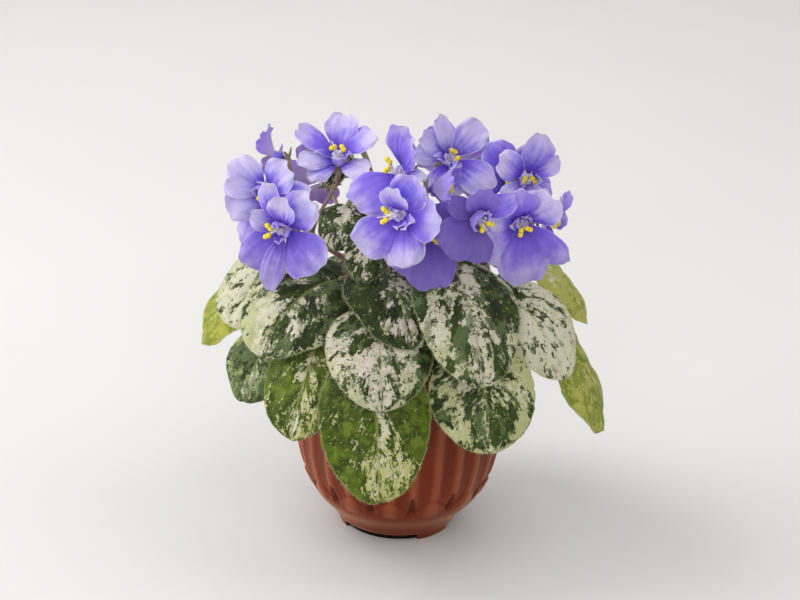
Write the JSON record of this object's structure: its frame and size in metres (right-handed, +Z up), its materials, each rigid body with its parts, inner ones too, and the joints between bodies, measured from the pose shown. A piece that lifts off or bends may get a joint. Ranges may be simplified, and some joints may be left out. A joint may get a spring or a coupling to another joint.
{
  "type": "potted african violet",
  "caption": "Flowering african violet with variegated leaves and blue-violet blooms, rooted in a ribbed terracotta-coloured pot.",
  "frame": {"origin": "on the pot's axis, at the surface that its feet stand on", "axes": "+Z up along the pot's axis; -Y towards the front, the side that the picture shows; +X to the right seen from the front"},
  "size_m": [0.1703, 0.1469, 0.1766],
  "materials": {
    "pot": "satin moulded plastic, terracotta brown",
    "soil": "moist peat potting mix",
    "young_leaf": "downy variegated young leaf",
    "leaf": "downy leaf, cream splashed with green",
    "stalk": "downy mauve-brown stalk",
    "petal": "soft satin petal, blue-violet",
    "anther": "matt pollen yellow"
  },
  "bodies": {
    "root": {"pot": "pot", "soil": "soil", "crown": "young_leaf", "leaf_01": "leaf", "leaf_02": "leaf", "leaf_03": "leaf", "leaf_04": "leaf", "leaf_05": "leaf", "leaf_06": "leaf", "leaf_07": "leaf", "leaf_08": "leaf", "leaf_09": "leaf", "leaf_10": "leaf", "leaf_11": "leaf", "leaf_12": "leaf", "leaf_13": "leaf", "leaf_14": "leaf", "leaf_15": "leaf", "leaf_16": "leaf", "leaf_17": "leaf", "leaf_18": "leaf", "spray_left": "stalk", "spray_back_left": "stalk", "spray_middle": "stalk", "spray_right": "stalk", "spray_back_right": "stalk", "corolla_01": "petal", "corolla_02": "petal", "corolla_03": "petal", "corolla_04": "petal", "corolla_05": "petal", "corolla_06": "petal", "corolla_07": "petal", "corolla_08": "petal", "corolla_09": "petal", "corolla_10": "petal", "corolla_11": "petal", "corolla_12": "petal", "corolla_13": "petal", "corolla_14": "petal", "corolla_15": "petal", "corolla_16": "petal", "stamens_01": "anther", "stamens_02": "anther", "stamens_03": "anther", "stamens_04": "anther", "stamens_05": "anther", "stamens_06": "anther", "stamens_07": "anther", "stamens_08": "anther", "stamens_09": "anther", "stamens_10": "anther", "stamens_11": "anther", "stamens_12": "anther", "stamens_13": "anther", "stamens_14": "anther", "stamens_15": "anther", "stamens_16": "anther"}
  },
  "joints": []
}
